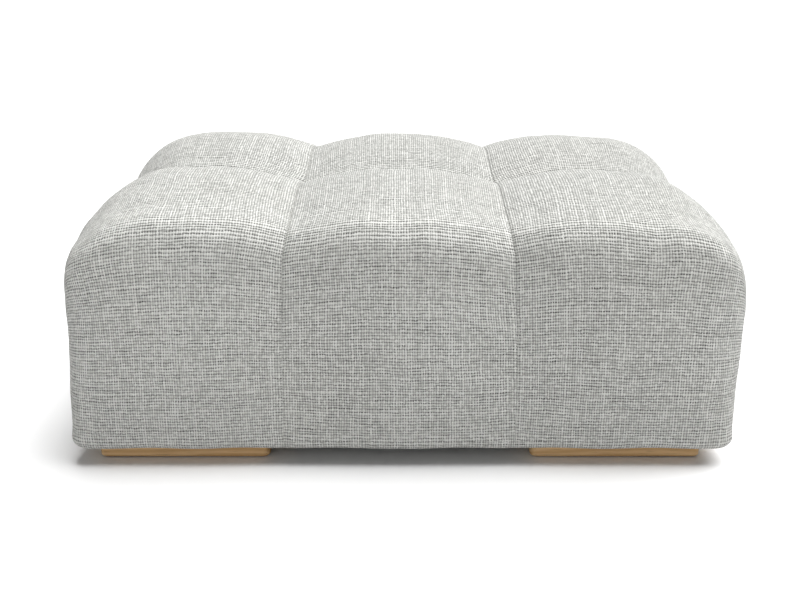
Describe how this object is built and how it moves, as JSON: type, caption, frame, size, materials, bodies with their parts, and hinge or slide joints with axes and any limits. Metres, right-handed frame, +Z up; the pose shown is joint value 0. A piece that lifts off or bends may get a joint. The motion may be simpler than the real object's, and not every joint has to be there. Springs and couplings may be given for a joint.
{
  "type": "ottoman",
  "caption": "Low rectangular padded ottoman: crowned woven cells divided by deep sewn channels over a timber frame, on oak block feet.",
  "frame": {"origin": "on the floor under the middle of the ottoman", "axes": "+X to the right along the three cells, the front faces -Y, +Z up"},
  "size_m": [1.05, 0.78, 0.43],
  "materials": {
    "cover_cloth": "chunky slub basket weave, pale grey",
    "seat_filling": "foam with fibre wrap",
    "oak": "matt oiled light oak",
    "pine": "planed",
    "plywood": "sanded",
    "hardboard": "smooth pressed",
    "felt": "dense felt",
    "webbing": "ribbed elastic webbing",
    "rod": "drawn fibreglass",
    "dust_cloth": "black non-woven"
  },
  "bodies": {
    "root": {"base_board_front": "plywood", "base_board_left": "plywood", "base_board_rear": "plywood", "base_board_right": "plywood", "cell_foam_front_centre": "seat_filling", "cell_foam_front_left": "seat_filling", "cell_foam_front_right": "seat_filling", "cell_foam_rear_centre": "seat_filling", "cell_foam_rear_left": "seat_filling", "cell_foam_rear_right": "seat_filling", "channel_ties": "webbing", "column_channel_rods": "rod", "cover_front_centre": "cover_cloth", "cover_front_left": "cover_cloth", "cover_front_right": "cover_cloth", "cover_rear_centre": "cover_cloth", "cover_rear_left": "cover_cloth", "cover_rear_right": "cover_cloth", "cross_stretcher_left": "pine", "cross_stretcher_right": "pine", "cross_webbing": "webbing", "deck_cloth": "felt", "dust_cover": "dust_cloth", "foot_front_left": "oak", "foot_front_right": "oak", "foot_rear_left": "oak", "foot_rear_right": "oak", "glides_front_left": "felt", "glides_front_right": "felt", "glides_rear_left": "felt", "glides_rear_right": "felt", "liner_front": "hardboard", "liner_left": "hardboard", "liner_rear": "hardboard", "liner_right": "hardboard", "long_stretcher": "pine", "long_webbing": "webbing", "loose_tenons": "pine", "post_front_left": "pine", "post_front_right": "pine", "post_rear_left": "pine", "post_rear_right": "pine", "row_channel_rods": "rod", "seat_foam": "seat_filling", "stud_front_left": "pine", "stud_front_right": "pine", "stud_rear_left": "pine", "stud_rear_right": "pine", "top_rail_front": "pine", "top_rail_left": "pine", "top_rail_rear": "pine", "top_rail_right": "pine"}
  },
  "joints": []
}
